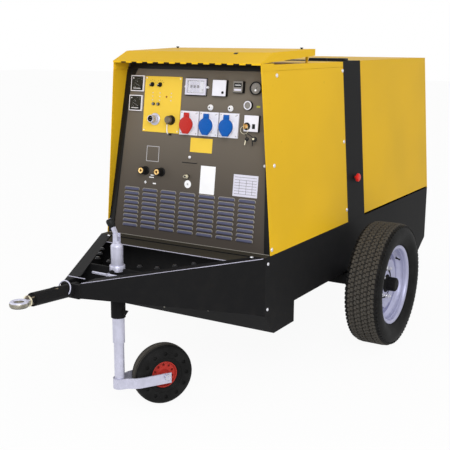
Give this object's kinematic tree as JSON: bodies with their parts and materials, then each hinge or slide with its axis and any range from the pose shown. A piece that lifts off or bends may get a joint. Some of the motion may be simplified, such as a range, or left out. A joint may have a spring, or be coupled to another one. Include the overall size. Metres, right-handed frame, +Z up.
{
  "type": "engine driven welder",
  "caption": "Silenced engine driven welding set on a two wheeled site trailer with a towing eye, a cranked jockey wheel and a sloping control panel.",
  "frame": {"origin": "on the ground under the middle of the whole machine", "axes": "+Z up; the machine is longest along Y, with the towing eye and control panel towards -Y; +X is the side of the emergency stop"},
  "size_m": [1.402, 3.1195, 1.4664],
  "materials": {
    "yellow_paint": "gloss enamel on folded sheet",
    "black_paint": "semi-gloss enamel",
    "panel_paint": "satin dark grey enamel",
    "zinc_plate": "bright zinc plate",
    "wheel_silver": "silver wheel paint",
    "dark_steel": "oiled dark steel",
    "cast_iron": "painted casting",
    "tyre_rubber": "matt black rubber",
    "red_plastic": "moulded red",
    "blue_plastic": "moulded blue",
    "grey_plastic": "moulded light grey",
    "clear_plastic": "smoky clear moulding",
    "black_plastic": "moulded black",
    "brass": "turned brass",
    "radiator_fins": "bare fins"
  },
  "bodies": {
    "chassis": {"base_tray": "black_paint", "centre_hoop": "black_paint", "front_side_left": "yellow_paint", "front_side_right": "yellow_paint", "front_deck": "yellow_paint", "canopy": "yellow_paint", "rear_hood": "yellow_paint", "control_panel": "panel_paint", "control_plate": "yellow_paint", "breaker_box": "grey_plastic", "socket_red": "grey_plastic", "socket_blue_1": "grey_plastic", "socket_blue_2": "grey_plastic", "key_box": "grey_plastic", "weld_socket_plus": "brass", "weld_socket_minus": "brass", "axle_beam": "black_paint", "drawbar_left": "black_paint", "drawbar_right": "black_paint", "drawbar_tray": "black_paint", "drawbar_nose": "black_paint", "tow_eye": "dark_steel", "jockey_socket": "black_paint", "alternator_stator": "cast_iron", "engine_block": "cast_iron", "radiator": "radiator_fins", "muffler": "dark_steel", "fuel_tank": "black_plastic", "battery": "black_plastic"},
    "wheel_left": {"hub_left": "black_paint", "rim_left": "wheel_silver", "tyre_left": "tyre_rubber"},
    "wheel_right": {"hub_right": "black_paint", "rim_right": "wheel_silver", "tyre_right": "tyre_rubber"},
    "mast": {"jockey_mast": "zinc_plate"},
    "jack_carriage": {"jack_nut": "dark_steel"},
    "castor": {"jockey_stem": "zinc_plate", "jockey_fork": "zinc_plate", "jockey_axle": "zinc_plate"},
    "jockey_wheel": {"jockey_hub": "red_plastic", "jockey_tyre": "tyre_rubber"},
    "crank": {"crank_spindle": "zinc_plate"},
    "crank_handle": {"crank_arm": "zinc_plate"},
    "crank_grip": {"crank_knob": "black_plastic"},
    "mast_clamp": {"clamp_screw": "zinc_plate"},
    "door_left": {"rear_door_left": "yellow_paint"},
    "door_right": {"rear_door_right": "yellow_paint"},
    "breaker_lid": {"breaker_cover": "clear_plastic"},
    "red_lid": {"lid_red": "red_plastic"},
    "blue_lid_1": {"lid_blue_1": "blue_plastic"},
    "blue_lid_2": {"lid_blue_2": "blue_plastic"},
    "left_selector": {"selector_left": "black_plastic"},
    "right_selector": {"selector_right": "black_plastic"},
    "ignition_key": {"key": "zinc_plate"},
    "start_rocker": {"rocker": "black_plastic"},
    "start_button": {"push_button": "black_plastic"},
    "emergency_stop": {"stop_button": "red_plastic"},
    "rotor": {"alternator_rotor": "dark_steel"},
    "cooling_fan": {"fan": "black_plastic"}
  },
  "joints": [
    {"name": "wheel_left_spin", "type": "hinge", "parent": "chassis", "child": "wheel_left", "pos_m": [-0.611, 0.392, 0.3086], "axis": [1, 0, 0], "continuous": true},
    {"name": "wheel_right_spin", "type": "hinge", "parent": "chassis", "child": "wheel_right", "pos_m": [0.611, 0.392, 0.3086], "axis": [1, 0, 0], "continuous": true},
    {"name": "mast_height", "type": "slide", "parent": "chassis", "child": "mast", "axis": [0, 0, 1], "range_m": [-0.08, 0.1]},
    {"name": "crank_turn", "type": "hinge", "parent": "mast", "child": "crank", "pos_m": [0, -0.977, 0.7423], "axis": [0, 0, 1], "range_deg": [-8705, 3005]},
    {"name": "jack_travel", "type": "slide", "parent": "mast", "child": "jack_carriage", "axis": [0, 0, -1], "range_m": [-0.145, 0.05]},
    {"name": "castor_swivel", "type": "hinge", "parent": "jack_carriage", "child": "castor", "pos_m": [0, -0.977, 0.12], "axis": [0, 0, 1], "continuous": true},
    {"name": "jockey_wheel_spin", "type": "hinge", "parent": "castor", "child": "jockey_wheel", "pos_m": [0.09786, -0.81414, 0.13], "axis": [0.8572, -0.515, 0], "continuous": true},
    {"name": "crank_fold_hinge", "type": "hinge", "parent": "crank", "child": "crank_handle", "pos_m": [0, -0.977, 0.742], "axis": [0, 1, 0], "range_deg": [-62, 28]},
    {"name": "crank_knob_spin", "type": "hinge", "parent": "crank_handle", "child": "crank_grip", "pos_m": [-0.01704, -0.977, 0.77405], "axis": [-0.4695, 0, 0.8829], "continuous": true},
    {"name": "mast_clamp_turn", "type": "hinge", "parent": "chassis", "child": "mast_clamp", "pos_m": [0, -1.0026, 0.596], "axis": [0, -1, 0], "range_deg": [0, 540]},
    {"name": "door_left_hinge", "type": "hinge", "parent": "chassis", "child": "door_left", "pos_m": [-0.43677, 0.5388, 0.6247], "axis": [0.0731, 0, 0.9973], "range_deg": [0, 100]},
    {"name": "door_right_hinge", "type": "hinge", "parent": "chassis", "child": "door_right", "pos_m": [0.43677, 0.5388, 0.6247], "axis": [0.0731, 0, -0.9973], "range_deg": [0, 100]},
    {"name": "breaker_cover_hinge", "type": "hinge", "parent": "chassis", "child": "breaker_lid", "pos_m": [0, -0.41724, 1.33632], "axis": [-1, 0, 0], "range_deg": [0, 100]},
    {"name": "lid_red_hinge", "type": "hinge", "parent": "chassis", "child": "red_lid", "pos_m": [-0.018, -0.45518, 1.18803], "axis": [-1, 0, 0], "range_deg": [0, 110], "stiffness_Nm_per_rad": 0.06, "springref_deg": -28.65},
    {"name": "lid_blue_1_hinge", "type": "hinge", "parent": "chassis", "child": "blue_lid_1", "pos_m": [0.084, -0.45518, 1.18803], "axis": [-1, 0, 0], "range_deg": [0, 110], "stiffness_Nm_per_rad": 0.06, "springref_deg": -28.65},
    {"name": "lid_blue_2_hinge", "type": "hinge", "parent": "chassis", "child": "blue_lid_2", "pos_m": [0.186, -0.45518, 1.18803], "axis": [-1, 0, 0], "range_deg": [0, 110], "stiffness_Nm_per_rad": 0.06, "springref_deg": -28.65},
    {"name": "selector_left_turn", "type": "hinge", "parent": "chassis", "child": "left_selector", "pos_m": [-0.232, -0.40452, 1.30536], "axis": [0, -0.9912, 0.1323], "range_deg": [-60, 60]},
    {"name": "selector_right_turn", "type": "hinge", "parent": "chassis", "child": "right_selector", "pos_m": [-0.189, -0.40452, 1.30536], "axis": [0, -0.9912, 0.1323], "range_deg": [-60, 60]},
    {"name": "key_turn", "type": "hinge", "parent": "chassis", "child": "ignition_key", "pos_m": [0.282, -0.44051, 1.14673], "axis": [0, -0.9912, 0.1323], "range_deg": [-90, 0]},
    {"name": "rocker_tilt", "type": "hinge", "parent": "chassis", "child": "start_rocker", "pos_m": [0.315, -0.43761, 1.14735], "axis": [1, 0, 0], "range_deg": [-8, 8]},
    {"name": "start_button_press", "type": "slide", "parent": "chassis", "child": "start_button", "axis": [0, 0.9912, -0.1323], "range_m": [0, 0.004], "stiffness_N_per_m": 600, "springref_m": -0.003},
    {"name": "stop_button_press", "type": "slide", "parent": "chassis", "child": "emergency_stop", "axis": [-1, 0, 0], "range_m": [0, 0.006], "stiffness_N_per_m": 1200, "springref_m": -0.004},
    {"name": "rotor_spin", "type": "hinge", "parent": "chassis", "child": "rotor", "pos_m": [0, -0.197, 0.66], "axis": [0, 1, 0], "continuous": true},
    {"name": "fan_spin", "type": "hinge", "parent": "chassis", "child": "cooling_fan", "pos_m": [0, 0.8233, 0.66], "axis": [0, 1, 0], "continuous": true}
  ],
  "couplings": [
    {"joint": "crank_turn", "follows": "jack_travel", "rad_per_m": 1047.2},
    {"joint": "fan_spin", "follows": "rotor_spin", "ratio": 1}
  ]
}
